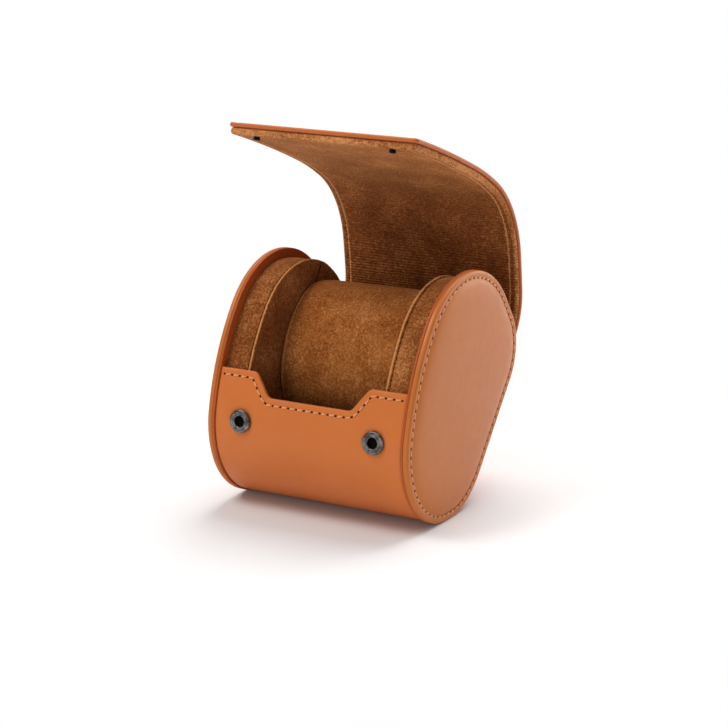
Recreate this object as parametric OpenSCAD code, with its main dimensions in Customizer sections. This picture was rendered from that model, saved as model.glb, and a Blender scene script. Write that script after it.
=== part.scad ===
// Travel case for one wrist watch: two padded end panels, a body wrap sewn between them, a lid
// flap that is the same strip carried on past the hinge line, and a loose pillow inside.
// The side outline is drawn with its flat base along u and with v pointing up from the base,
// and its origin at the centre of the large lobe. The case then leans back by base_angle.

/* [Side outline] */
// Radius of the large lobe that the case stands on
lobe_r = 36.5; // [34:0.5:40]
// Radius of the corner at the hinge end of the base
heel_r = 24.5; // [20:0.5:28]
// Length of the flat base between the lobe and the hinge corner
base_len = 44.5; // [38:0.5:52]
// Depth of the case from its flat base to its crown
case_depth = 81; // [78:0.5:84]
// Radius of the crown
crown_r = 42.5; // [40:0.5:44]
// How far the outline turns round the hinge corner before it runs on to the crown
heel_turn = 75.7; // [72:0.1:80]
// Radius of the nearly flat front
front_r = 103; // [90:1:130]

/* [Stance] */
// Lean of the flat base from level
base_angle = 50.3; // [46:0.1:58]
// Depth of the small flat that the lobe is pressed to where it stands
foot_depth = 0.4; // [0.2:0.1:2]

/* [End panels] */
// Free width between the two end panels
body_w = 89; // [80:0.5:100]
// Thickness of a panel at its rim
rim_t = 3.6; // [3.2:0.1:4.5]
// Thickness of the leather facing on a panel's inner side
facing_t = 1.2; // [0.8:0.1:1.4]
// Thickness of the stiffener in a panel
panel_board_t = 1.1; // [0.8:0.1:1.4]
// Thickness of the leather over a panel's padding
cover_t = 1.2; // [1:0.1:1.4]
// How far the padded face stands proud of the rim
panel_crown = 1.9; // [1:0.1:3]
// Width of the flat sewn rim
sewn_rim = 3; // [2:0.5:5]
// Width over which the padded face rises
crown_run = 17; // [12:1:22]
// Width of the leather fold at the rim, outside the stiffener
rim_fold = 5; // [4:0.5:7]

/* [Cheek pads] */
// Distance from the rim's edge to a cheek pad
cheek_inset = 4; // [3.8:0.1:5]
// Thickness of a cheek pad
cheek_t = 12.3; // [8:0.1:16]
// Thickness of the suede on a cheek pad
suede_t = 0.8; // [0.6:0.1:1.2]
// How far the sewn edge of a cheek pad stands proud
cheek_welt = 0.3; // [0.2:0.1:0.4]

/* [Body wrap] */
// How far the wrap lies inside the edge of the panels
wrap_recess = 0.6; // [0.4:0.1:0.8]
// Thickness of the wrap's leather
wrap_leather_t = 1.3; // [1:0.1:1.4]
// Thickness of the stiffener in the wrap
wrap_board_t = 0.8; // [0.5:0.1:0.9]
// Thickness of the suede lining of the wrap
wrap_lining_t = 0.7; // [0.5:0.1:0.7]
// Height of the front wall above the lobe
front_rise = 19; // [15:0.5:24]
// Width of the front notch at its mouth
notch_mouth = 54; // [46:1:60]
// Width of the front notch at its floor
notch_floor = 39.4; // [30:0.2:44]
// Depth of the front notch
notch_depth = 10.2; // [7:0.1:12]

/* [Lid flap] */
// Width of the lid flap
lid_w = 88.2; // [76:0.2:98]
// Thickness of the lid's leather
lid_leather_t = 1.8; // [1.4:0.1:2]
// Thickness of the padding in the lid
lid_padding_t = 2; // [1.5:0.1:2]
// Thickness of the lid's suede lining
lid_lining_t = 1; // [0.6:0.1:1]
// Where the lid folds off the base, past the base's end
hinge_s = 5; // [4:0.5:6]
// Length of the hinge strip between its two folds
strip_l = 14; // [12:0.5:16]
// Length of the back of the lid, which keeps its bend
lid_back = 43; // [38:0.5:46]
// Length of each of the four folds over the top of the case
top_fold = 24; // [20:0.5:26]
// Length of the lid's tip, which carries the snap studs
lid_tip = 22; // [18:0.2:24]
// Radius of the lid's two free corners
tip_corner = 2; // [1.8:0.1:6]
// Straight stretch of the open lid off the base
bend_start = 20.3; // [16:0.1:24]
// Length over which the open lid bends up
bend_low = 22.5; // [20:0.5:26]
// Nearly straight stretch up its back
bend_rest = 15; // [12:0.5:18]
// Length over which it bends over
bend_high = 44; // [40:0.5:50]
// Length over which it bends on a little
bend_fore = 23; // [18:0.5:28]
// Length of the slight bend to its free edge
bend_end = 54; // [46:0.5:60]

/* [Snaps] */
// Distance of each snap from the middle of the case
snap_x = 31.8; // [24:0.1:34]
// Outer diameter of a snap's socket ring
ring_d = 10; // [8:0.1:12]
// How far the socket ring stands proud of the leather
ring_h = 1.3; // [0.8:0.1:1.6]
// Bore of a snap socket
socket_bore = 4.2; // [3.8:0.1:4.4]
// Wall of a socket's barrel
barrel_wall = 0.6; // [0.4:0.1:0.8]
// Diameter of a snap stud
stud_d = 3; // [2.6:0.1:3.2]
// How far a stud stands out of the lining
stud_h = 1.6; // [1:0.1:2]
// Diameter of the plate behind a stud, which the leather hides
back_d = 4.6; // [4:0.1:4.6]
// Thickness of that plate
back_t = 0.5; // [0.3:0.1:0.7]
// Distance of the studs from the lid's free edge
stud_margin = 3.9; // [3.9:0.1:7]
// Distance of the sockets from the front edge, along the wall
socket_drop = 21.8; // [20:0.1:26]

/* [Pillow] */
// Length of the pillow's oval section
pillow_l = 62; // [50:1:64]
// Width of the pillow's oval section
pillow_w = 46; // [36:1:50]
// Free width left between the pillow and each cheek pad
pillow_clear = 0.4; // [0.3:0.1:1]
// Place of the pillow along the base, from the lobe
pillow_u = 31; // [29:0.5:32]
// Height of the pillow's middle above the lobe's middle
pillow_v = 0.7; // [-3:0.1:3]
// Length over which each end of the pillow draws in
pillow_soft = 12; // [8:0.5:16]
// Tilt of the pillow's section against the base
pillow_tilt = 10; // [0:1:15]

/* [Hidden] */

// Colours
tan_leather = "#c4703f";
pale_leather = "#bf7f5b";
suede = "#9a6038";
board = "#b9a98a";
foam = "#e8dfc8";
gunmetal = "#5c5c60";

// Small working clearances
fit_gap = 0.1;
seam_gap = 0.06;

// Side outline, all in the outline's own u and v
heel_c = [base_len, heel_r - lobe_r];
heel_end_a = heel_turn - 90;
crown_v = case_depth - lobe_r - crown_r;
heel_step = heel_r - crown_r;
heel_run = (crown_v - heel_c.y - heel_step * sin(heel_end_a)) / cos(heel_end_a);
crown_c = [heel_c.x + heel_step * cos(heel_end_a) - heel_run * sin(heel_end_a), crown_v];
front_c = bridge_centre(lobe_r, crown_c, crown_r, front_r);
crown_end_a = atan2(crown_c.y - front_c.y, crown_c.x - front_c.x);
front_end_a = atan2(-front_c.y, -front_c.x);
edge_a = front_end_a - front_rise / front_r * 180 / PI;
foot_a = 270 - base_angle;
stand_h = lobe_r - foot_depth;

// Panels and wrap
half_w = body_w / 2;
panel_out = half_w + rim_t;
board_out = half_w + facing_t + panel_board_t;
hinge_u = base_len + hinge_s;
board_margin = 3;
leather_in = wrap_recess + wrap_leather_t;
board_in = leather_in + wrap_board_t;
lining_in = board_in + wrap_lining_t;
cheek_in = half_w - cheek_t;
cheek_gap = 0.1;
notch_over = 8;

// Lid: each run of the open lid's curve is [length, turn], and each fold is [start, closing turn]
lid_runs = [
    [bend_start, 0], [bend_low, 46], [bend_rest, 1.5], [bend_high, 51], [bend_fore, 9], [bend_end, 5]
];
strip_end = hinge_s + strip_l;
top_start = strip_end + lid_back;
tip_start = top_start + 4 * top_fold;
lid_end = tip_start + lid_tip;
folds = [
    [hinge_s, 24.9], [strip_end, 18.3], [top_start, 8.2], [top_start + top_fold, 2.7],
    [top_start + 2 * top_fold, 13.7], [top_start + 3 * top_fold, 8.9], [tip_start, 22.1], [lid_end, 0]
];
pad_depth = lid_leather_t + lid_padding_t;
lid_t = pad_depth + lid_lining_t;
stud_s = lid_end - stud_margin;
tip_fold = 7;
pad_w = lid_w - 3;
lining_w = lid_w - 1;

// Snaps
socket_a = front_end_a + (socket_drop - front_rise) / lobe_r * 180 / PI;
seat_depth = 0.35;
ring_step = 0.5;
flange_t = 0.5;
flange_d = 8.4;
flange_z = board_in - wrap_recess - 0.02;
barrel_d = socket_bore + 2 * barrel_wall;
post_d = 2;
back_depth = lid_leather_t + fit_gap + back_t;

// Pillow
pillow_half = cheek_in - pillow_clear;
pillow_sides = 36;

// Front to back place of the case, so that its origin is under the middle of its box
lid_back_y = max([for (s = [0:1:lid_end]) to_stand(lid_face(s, 0)).x]);
ring_tilt = socket_a + base_angle - 180;
front_y = -(lobe_r - wrap_recess + ring_h) * cos(ring_tilt) - (ring_d / 2 - ring_step) * abs(sin(ring_tilt));
shift_y = -(lid_back_y + front_y) / 2;

// Centre of an arc of radius r that touches the lobe and a second circle from outside both
function bridge_centre(r1, c2, r2, r) =
    let (d = norm(c2))
    let (a = ((r - r1) ^ 2 - (r - r2) ^ 2 + d * d) / (2 * d))
    let (h = sqrt((r - r1) ^ 2 - a * a))
    a * c2 / d - h * [-c2.y, c2.x] / d;

// Points along an arc from angle a0 to angle a1 in n steps
function arc(c, r, a0, a1, n) = [for (i = [0:n]) let (a = a0 + (a1 - a0) * i / n) c + r * [cos(a), sin(a)]];

// A point of the outline turned into the leaning stance
function to_stand(p) = [
    p.x * cos(base_angle) - p.y * sin(base_angle),
    p.x * sin(base_angle) + p.y * cos(base_angle)
];

// Half angle of the pressed flat on an outline drawn in by inset
function foot_half(inset) = acos((stand_h - inset) / (lobe_r - inset));

// The lobe from angle a0 to the base, flattened where it stands
function lobe_arc(inset, a0) = concat(
    arc([0, 0], lobe_r - inset, a0, foot_a - foot_half(inset), 13),
    arc([0, 0], lobe_r - inset, foot_a + foot_half(inset), 270, 8)
);

// Whole side outline, drawn in by inset
function outline(inset) = concat(
    arc(heel_c, heel_r - inset, -90, heel_end_a, 12),
    arc(crown_c, crown_r - inset, heel_end_a, crown_end_a, 17),
    arc(front_c, front_r - inset, crown_end_a, front_end_a, 5),
    lobe_arc(inset, front_end_a)
);

// Path of the wrap from its front edge, under the lobe and along the base to the hinge line
function wrap_path(inset, edge_trim, hinge_trim) = concat(
    arc(front_c, front_r - inset, edge_a + edge_trim / front_r * 180 / PI, front_end_a, 4),
    lobe_arc(inset, front_end_a),
    [[hinge_u - hinge_trim, inset - lobe_r]]
);

function reversed(list) = [for (i = [len(list) - 1:-1:0]) list[i]];

// End of a curve that starts at p, heads along angle a and turns steadily over a length
function bend(p, a, length, turn) =
    abs(turn) < 0.001
        ? p + length * [cos(a), sin(a)]
        : p + length * 180 / (PI * turn) * [sin(a + turn) - sin(a), cos(a) - cos(a + turn)];

// Point and heading of the open lid's outer face at a length s from the end of the base
function lid_at(s, k = 0, p = [base_len, wrap_recess - lobe_r], a = 0) =
    let (length = lid_runs[k][0], turn = lid_runs[k][1])
    s <= length || k == len(lid_runs) - 1
        ? [bend(p, a, s, turn * s / length), a + turn * s / length]
        : lid_at(s - length, k + 1, bend(p, a, length, turn), a + turn);

// Point of the open lid at length s and at a depth below its outer face
function lid_face(s, depth) =
    let (at = lid_at(s))
    at[0] + depth * [-sin(at[1]), cos(at[1])];

// Room left at a fold so that its two sides can close on each other
function fold_room(k, depth) = seam_gap / 2 + max(0, depth - lid_leather_t) * tan(folds[k][1] / 2);

// Side shape of one piece of the lid between two depths
function lid_piece(k, depth0, depth1, end_trim) =
    let (s0 = folds[k - 1][0], s1 = folds[k][0] - end_trim)
    let (n = max(1, ceil((s1 - s0) / 3)))
    let (top = [for (i = [0:n])
        lid_face(s0 + fold_room(k - 1, depth0) + (s1 - s0 - fold_room(k - 1, depth0)
            - fold_room(k, depth0)) * i / n, depth0)])
    let (under = [for (i = [0:n])
        lid_face(s0 + fold_room(k - 1, depth1) + (s1 - s0 - fold_room(k - 1, depth1)
            - fold_room(k, depth1)) * i / n, depth1)])
    concat(top, reversed(under));

// Distance of a panel's padded face from the middle of the case, at a distance in from its rim
function face_x(inset) =
    let (q = min(1, max(0, (inset - sewn_rim) / crown_run)))
    panel_out + panel_crown * (1 - (1 - q) ^ 2);

// Places the outline's frame in the standing case
module stance() translate([0, shift_y, stand_h]) rotate([base_angle, 0, 0]) children();

// Side shape made solid from x0 to x1 across the case
module slab(points, x0, x1)
    translate([x0, 0, 0]) rotate([90, 0, 90]) linear_extrude(x1 - x0) polygon(points);

// Skin through sections given as [x, points], all with the same number of points. It is closed
// by a cap at each end, or by running back to its first section.
module loft(sections, loop = false) {
    count = len(sections[0][1]);
    last = len(sections) - 1;
    points = [for (s = sections) for (p = s[1]) [s[0], p.x, p.y]];
    sides = [for (k = [0:loop ? last : last - 1]) for (i = [0:count - 1])
        let (a = k * count, b = (k + 1) % (last + 1) * count, j = (i + 1) % count)
        each [[a + i, b + i, a + j], [a + j, b + i, b + j]]];
    caps = [for (i = [1:count - 2])
        each [[0, i, i + 1], [last * count, last * count + i + 1, last * count + i]]];
    polyhedron(points, loop ? sides : concat(sides, caps), convexity = 4);
}

// Keeps a right hand piece, or mirrors it to the left
module on_side(side) mirror([side < 0 ? 1 : 0, 0, 0]) children();

module at_socket(side)
    translate([side * snap_x, 0, 0]) rotate([socket_a - 90, 0, 0])
        translate([0, 0, lobe_r - wrap_recess]) children();

module at_stud(side) {
    at = lid_at(stud_s);
    translate([side * snap_x, at[0].x, at[0].y]) rotate([at[1], 0, 0]) children();
}

// Round disc about the local z axis, from z0 to z1
module disc(d, z0, z1) translate([0, 0, z0]) cylinder(d = d, h = z1 - z0, $fn = 48);

// Sections of the side outline at each [inset, x]
function outline_sections(rings) = [for (r = rings) [r[1], outline(r[0])]];

// Padded leather cover of an end panel
module panel_cover(side) color(pale_leather) stance() on_side(side) loft(outline_sections(concat(
    [for (i = [20, 14, 9, rim_fold]) [i, face_x(i) - cover_t]],
    [[rim_fold, half_w + facing_t], [0, half_w + facing_t], [0, panel_out - 0.9]],
    [[0.3, panel_out - 0.3], [0.9, panel_out], [sewn_rim, face_x(sewn_rim)]],
    [for (i = [rim_fold, 9, 14, 20]) [i, face_x(i)]]
)));

// Soft padding between the cover and the stiffener
module panel_padding(side) color(foam) stance() on_side(side) loft(outline_sections(concat(
    [[rim_fold + fit_gap, board_out]],
    [for (i = [rim_fold + fit_gap, 9, 14, 20]) [i, face_x(i) - cover_t - fit_gap]]
)));

module panel_board(side) color(board) stance() on_side(side)
    slab(outline(rim_fold + fit_gap), half_w + facing_t, board_out);

module panel_facing(side) color(tan_leather) stance() on_side(side)
    slab(outline(0), half_w, half_w + facing_t);

// Cheek pad: a foam block, a suede band round it and a suede face with a proud sewn edge
module cheek_core(side) color(foam) stance() on_side(side)
    slab(outline(cheek_inset + suede_t + fit_gap), cheek_in + suede_t, half_w);

module cheek_band(side) color(suede) stance() on_side(side) difference() {
    slab(outline(cheek_inset), cheek_in + suede_t, half_w);
    slab(outline(cheek_inset + suede_t), cheek_in, half_w + 1);
}

module cheek_face(side) color(suede) stance() on_side(side)
    slab(outline(cheek_inset - cheek_welt + cheek_gap), cheek_in, cheek_in + suede_t);

// One layer of the wrap, between two distances in from the outline
module wrap_layer(inset0, inset1, edge_trim, hinge_trim)
    slab(concat(wrap_path(inset0, edge_trim, hinge_trim),
        reversed(wrap_path(inset1, edge_trim, hinge_trim))), -half_w, half_w);

// Trapezoid cut out of the front edge, grown by a margin
module notch(grow) {
    slope = (notch_mouth - notch_floor) / 2 / notch_depth;
    edge = front_c + front_r * [cos(edge_a), sin(edge_a)];
    floor_x = notch_floor / 2 + grow;
    mouth_x = notch_mouth / 2 + grow + slope * notch_over;
    translate([0, edge.x, edge.y]) rotate([edge_a - 90, 0, 0]) translate([0, 0, -notch_over])
        linear_extrude(2 * notch_over) polygon([
            [-floor_x, -notch_depth - grow], [-mouth_x, notch_over],
            [mouth_x, notch_over], [floor_x, -notch_depth - grow]
        ]);
}

module wrap_leather() color(tan_leather) stance() difference() {
    wrap_layer(wrap_recess, leather_in, 0, seam_gap / 2);
    notch(0);
    for (side = [-1, 1]) at_socket(side) {
        disc(ring_d + 2 * fit_gap, -seat_depth, 3);
        disc(barrel_d + 2 * fit_gap, -3, 0);
    }
}

module wrap_board() color(board) stance() difference() {
    wrap_layer(leather_in, board_in, board_margin, board_margin);
    notch(board_margin);
    for (side = [-1, 1]) at_socket(side) disc(flange_d + 2 * fit_gap, -5, 0);
}

module wrap_lining() color(suede) stance() difference() {
    wrap_layer(board_in, lining_in, 0.3, 1);
    notch(0);
}

// Two socket rings on the outside of the front wall
module socket_rings() color(gunmetal) stance() for (side = [-1, 1]) at_socket(side) difference() {
    union() {
        disc(ring_d, -seat_depth, ring_h - 0.4);
        disc(ring_d - 2 * ring_step, ring_h - 0.4, ring_h);
    }
    disc(barrel_d + fit_gap, -1, ring_h + 1);
}

// The barrels that the studs click into, each with a flange behind the leather
module socket_barrels() color(gunmetal) stance() for (side = [-1, 1]) at_socket(side) difference() {
    union() {
        disc(barrel_d, -flange_z, ring_h - 0.1);
        disc(flange_d, -flange_z, flange_t - flange_z);
    }
    disc(socket_bore, 0.2 - flange_z, ring_h + 1);
}

// Rounds the two free corners of the lid's tip, on a layer of a given width that ends short
module tip_corners(width, short) {
    at = lid_at(lid_end);
    r = tip_corner - short;
    translate([0, at[0].x, at[0].y]) rotate([at[1], 0, 0])
        for (side = [-1, 1]) on_side(side) translate([width / 2 - r, -short - r, -1]) difference() {
            cube([r + 2, r + 2, lid_t + 2]);
            translate([0, 0, -1]) cylinder(r = r, h = lid_t + 4, $fn = 64);
        }
}

// One layer of the lid's tip, with rounded corners
module tip_layer(depth0, depth1, width, short) difference() {
    slab(lid_piece(tip_fold, depth0, depth1, short), -width / 2, width / 2);
    tip_corners(width, short);
}

module lid_leather(k) color(tan_leather) stance()
    if (k == tip_fold) tip_layer(0, lid_leather_t, lid_w, 0);
    else slab(lid_piece(k, 0, lid_leather_t, 0), -lid_w / 2, lid_w / 2);

module lid_padding(k) color(foam) stance()
    if (k == tip_fold) difference() {
        tip_layer(lid_leather_t, pad_depth, pad_w, 1.5);
        for (side = [-1, 1]) at_stud(side) {
            disc(back_d + 2 * fit_gap, 0, back_depth + fit_gap);
            disc(post_d + fit_gap, 0, lid_t);
        }
    }
    else slab(lid_piece(k, lid_leather_t, pad_depth, 0), -pad_w / 2, pad_w / 2);

module lid_lining(k) color(suede) stance()
    if (k == tip_fold) difference() {
        tip_layer(pad_depth, lid_t, lining_w, 0.8);
        for (side = [-1, 1]) at_stud(side) disc(post_d + fit_gap, 0, lid_t + 1);
    }
    else slab(lid_piece(k, pad_depth, lid_t, 0), -lining_w / 2, lining_w / 2);

// Two snap studs under the lid's tip, each with a post through the lining and a waisted head
module stud_posts() color(gunmetal) stance() for (side = [-1, 1]) at_stud(side) {
    disc(post_d, back_depth, lid_t);
    translate([0, 0, lid_t]) rotate_extrude($fn = 48) polygon([
        [0, 0], [stud_d / 2 - 0.1, 0], [stud_d / 2 - 0.3, stud_h * 0.35], [stud_d / 2, stud_h * 0.65],
        [stud_d / 2 - 0.3, stud_h], [0, stud_h]
    ]);
}

// The plate behind each stud, between the leather and the padding
module stud_backs() color(gunmetal) stance() for (side = [-1, 1]) at_stud(side)
    disc(back_d, back_depth - back_t, back_depth);

// Oval section of the pillow, drawn in by inset, at its place in the case
function pillow_oval(inset) = [for (i = [0:pillow_sides - 1]) let (
    a = i * 360 / pillow_sides,
    along = (pillow_l / 2 - inset) * cos(a),
    across = (pillow_w / 2 - inset) * sin(a)
) [
    pillow_u + along * cos(pillow_tilt) - across * sin(pillow_tilt),
    pillow_v + along * sin(pillow_tilt) + across * cos(pillow_tilt)
]];

// Sections of the pillow, drawn in towards its two ends and shrunk all round by a margin
function pillow_sections(margin, half_len) = [for (e = [
    [-half_len, 2.2], [-half_len + pillow_soft / 8, 1], [-half_len + pillow_soft * 0.42, 0.3],
    [-half_len + pillow_soft, 0], [half_len - pillow_soft, 0],
    [half_len - pillow_soft * 0.42, 0.3], [half_len - pillow_soft / 8, 1], [half_len, 2.2]
]) [e[0], pillow_oval(e[1] + margin)]];

module pillow_core() color(foam) stance()
    loft(pillow_sections(suede_t + fit_gap, pillow_half - suede_t - fit_gap));

module pillow_cover() color(suede) stance() loft(concat(
    pillow_sections(0, pillow_half - suede_t),
    reversed(pillow_sections(suede_t, pillow_half - suede_t))
), loop = true);

// Suede end of the pillow, its edge set into the drawn-in end of the cover
module pillow_end(side) color(suede) stance() on_side(side) loft([
    [pillow_half - suede_t, pillow_oval(2.3)], [pillow_half - 0.3, pillow_oval(2.3)],
    [pillow_half, pillow_oval(3.2)]
]);

panel_cover(-1);  // left_cover
panel_cover(1);  // right_cover
panel_padding(-1);  // left_padding
panel_padding(1);  // right_padding
panel_board(-1);  // left_board
panel_board(1);  // right_board
panel_facing(-1);  // left_facing
panel_facing(1);  // right_facing
cheek_core(-1);  // left_cheek_core
cheek_core(1);  // right_cheek_core
cheek_band(-1);  // left_cheek_band
cheek_band(1);  // right_cheek_band
cheek_face(-1);  // left_cheek_face
cheek_face(1);  // right_cheek_face
wrap_leather();
wrap_board();
wrap_lining();
socket_rings();
socket_barrels();
lid_leather(1);  // lid_leather_1
lid_leather(2);  // lid_leather_2
lid_leather(3);  // lid_leather_3
lid_leather(4);  // lid_leather_4
lid_leather(5);  // lid_leather_5
lid_leather(6);  // lid_leather_6
lid_leather(7);  // lid_leather_7
lid_padding(2);  // lid_padding_2
lid_padding(3);  // lid_padding_3
lid_padding(4);  // lid_padding_4
lid_padding(5);  // lid_padding_5
lid_padding(6);  // lid_padding_6
lid_padding(7);  // lid_padding_7
lid_lining(2);  // lid_lining_2
lid_lining(3);  // lid_lining_3
lid_lining(4);  // lid_lining_4
lid_lining(5);  // lid_lining_5
lid_lining(6);  // lid_lining_6
lid_lining(7);  // lid_lining_7
stud_posts();
stud_backs();
pillow_core();
pillow_cover();
pillow_end(-1);  // pillow_left_end
pillow_end(1);  // pillow_right_end
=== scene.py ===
import math

import bpy
import numpy as np
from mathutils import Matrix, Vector


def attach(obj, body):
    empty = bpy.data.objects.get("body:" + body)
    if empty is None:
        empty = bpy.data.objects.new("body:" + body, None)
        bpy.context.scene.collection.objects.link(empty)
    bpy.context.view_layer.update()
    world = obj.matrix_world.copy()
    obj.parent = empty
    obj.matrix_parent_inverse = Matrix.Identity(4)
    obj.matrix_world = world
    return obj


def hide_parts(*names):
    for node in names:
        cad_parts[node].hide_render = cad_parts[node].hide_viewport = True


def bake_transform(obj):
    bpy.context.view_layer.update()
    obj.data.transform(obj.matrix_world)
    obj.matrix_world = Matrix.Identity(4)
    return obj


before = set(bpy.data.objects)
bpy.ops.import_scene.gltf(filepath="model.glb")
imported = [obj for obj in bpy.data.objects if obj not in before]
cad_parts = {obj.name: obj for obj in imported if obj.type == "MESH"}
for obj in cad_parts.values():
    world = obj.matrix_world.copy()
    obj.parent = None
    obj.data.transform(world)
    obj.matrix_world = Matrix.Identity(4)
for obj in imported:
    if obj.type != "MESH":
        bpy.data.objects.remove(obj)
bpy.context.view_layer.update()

# ---------------------------------------------------------------- sizes, millimetres
# tilt of the flat base, and the lobe's centre behind the origin and above the floor
BASE = math.radians(50.3)
SHIFT_Y, STAND = -19.002, 36.1
# radii of the four arcs of the side outline
LOBE, HEEL, CROWN, FRONT = 36.5, 24.5, 42.5, 103.0
HEEL_C, HEEL_END = np.array([44.5, -12.0]), math.radians(75.7 - 90)
CROWN_RUN = (2.0 - HEEL_C[1] - (HEEL - CROWN) * math.sin(HEEL_END)) / math.cos(HEEL_END)
CROWN_C = np.array([HEEL_C[0] + (HEEL - CROWN) * math.cos(HEEL_END) - CROWN_RUN * math.sin(HEEL_END), 2.0])
# half the width between the end panels, and how far the wrap lies inside the outline
HALF, RECESS = 44.5, 0.6
# front edge above the lobe's start, and snaps below that edge
FRONT_RISE, SOCKET_DROP = 19.0, 21.8
# half width of the notch at its top and at its floor, and its depth
NOTCH_TOP, NOTCH_FLOOR, NOTCH_DEPTH = 27.0, 19.7, 10.2
# seams: distance from the edge, stitch pitch, place of the thread on the panel
SEAM_INSET, PITCH, SEAM_X = 3.0, 3.8, 47.86
# lid: width, leather, full thickness, free edge, start of the padded part
LID_W, LEATHER, LID_T, LID_END, PADDED = 88.2, 1.8, 4.8, 180.0, 19.6
SNAP_X, STUD_S = 31.8, 176.1
RNG = np.random.default_rng(7)


def bridge():
    """Centre of the front arc, which touches the lobe and the crown."""
    d = np.hypot(*CROWN_C)
    a = ((FRONT - LOBE) ** 2 - (FRONT - CROWN) ** 2 + d * d) / (2 * d)
    h = math.sqrt((FRONT - LOBE) ** 2 - a * a)
    return a * CROWN_C / d - h * np.array([-CROWN_C[1], CROWN_C[0]]) / d


FRONT_C = bridge()
CROWN_END = math.atan2(CROWN_C[1] - FRONT_C[1], CROWN_C[0] - FRONT_C[0])
FRONT_END = math.atan2(-FRONT_C[1], -FRONT_C[0])
EDGE = FRONT_END - FRONT_RISE / FRONT
FOOT = math.radians(270) - BASE
SOCKET = FRONT_END + (SOCKET_DROP - FRONT_RISE) / LOBE


def arc(c, r, a0, a1, n, normals):
    """Points of an arc, each with its outward direction after it where normals is set."""
    t = np.linspace(a0, a1, n)
    d = np.c_[np.cos(t), np.sin(t)]
    return np.c_[np.asarray(c) + r * d, d] if normals else np.asarray(c) + r * d


def pressed(p, inset):
    """Points of the lobe softly flattened where it stands."""
    down = np.array([math.cos(FOOT), math.sin(FOOT)])
    over = p @ down - (STAND - inset)
    return p - (0.5 * (over + np.sqrt(over * over + 0.04)))[..., None] * down


def outline(inset):
    """Closed side outline drawn in by inset, as [u, v, normal u, normal v]."""
    lobe = arc((0, 0), LOBE - inset, FRONT_END, 3 * math.pi / 2, 84, True)
    lobe[:, :2] = pressed(lobe[:, :2], inset)
    return np.vstack([
        arc(HEEL_C, HEEL - inset, -math.pi / 2, HEEL_END, 40, True),
        arc(CROWN_C, CROWN - inset, HEEL_END, CROWN_END, 60, True)[1:],
        arc(FRONT_C, FRONT - inset, CROWN_END, FRONT_END, 20, True)[1:],
        lobe[1:],
    ])


def place(x, u, v):
    """Points given across, along the base and up from it, as metres in the row's frame."""
    x, u, v = np.broadcast_arrays(np.asarray(x, float), u, v)
    y = u * math.cos(BASE) - v * math.sin(BASE) + SHIFT_Y
    z = u * math.sin(BASE) + v * math.cos(BASE) + STAND
    return np.stack([x, y, z], -1) / 1000


# ---------------------------------------------------------------- mesh helpers
def make(name, verts, faces, mat, body=None, nodes=(), smooth=True, uv=None):
    me = bpy.data.meshes.new(name)
    me.from_pydata([tuple(map(float, p)) for p in verts], [], [tuple(map(int, f)) for f in faces])
    me.validate()
    me.update()
    ob = bpy.data.objects.new(name, me)
    bpy.context.collection.objects.link(ob)
    me.materials.append(mat)
    if smooth:
        me.shade_smooth()
    if uv is not None:
        layer = me.uv_layers.new(name="UVMap")
        co = np.asarray(uv, float)
        idx = np.empty(len(me.loops), int)
        me.loops.foreach_get("vertex_index", idx)
        layer.data.foreach_set("uv", co[idx].ravel())
    if body:
        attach(ob, body)
    if nodes:
        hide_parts(*nodes)
    return ob


def loft(rings, wrap=True, caps=(True, True), flip=False):
    """Rings of equal length joined in order. Each ring is closed."""
    n = len(rings[0])
    v = np.vstack(rings)
    f = []
    for k in range(len(rings) - 1):
        a, b = k * n, (k + 1) * n
        for i in range(n if wrap else n - 1):
            j = (i + 1) % n
            f.append((a + i, a + j, b + j, b + i))
    if caps[0]:
        f.append(tuple(range(n))[::-1])
    if caps[1]:
        f.append(tuple((len(rings) - 1) * n + i for i in range(n)))
    if flip:
        f = [q[::-1] for q in f]
    return v, f


def ring_at(inset, x, side, ragged=0.0):
    """The outline drawn in by inset, placed at x on one side, a little rough where ragged is above 0."""
    o = outline(inset)
    o = o[:, :2] + o[:, 2:] * RNG.normal(0, ragged, len(o))[:, None] if ragged else o
    return place(side * x, o[:, 0], o[:, 1])


def shrunk(inset, x, side, share):
    """The outline drawn in by inset and shrunk towards the panel's middle."""
    o = outline(inset)[:, :2]
    c = np.array([27.0, 0.0])
    p = c + (o - c) * share
    return place(side * x, p[:, 0], p[:, 1])


# ---------------------------------------------------------------- materials
def rgb(r, g, b):
    lin = [((c / 255 + 0.055) / 1.055) ** 2.4 if c > 10 else c / 255 / 12.92 for c in (r, g, b)]
    return (*lin, 1.0)


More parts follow.
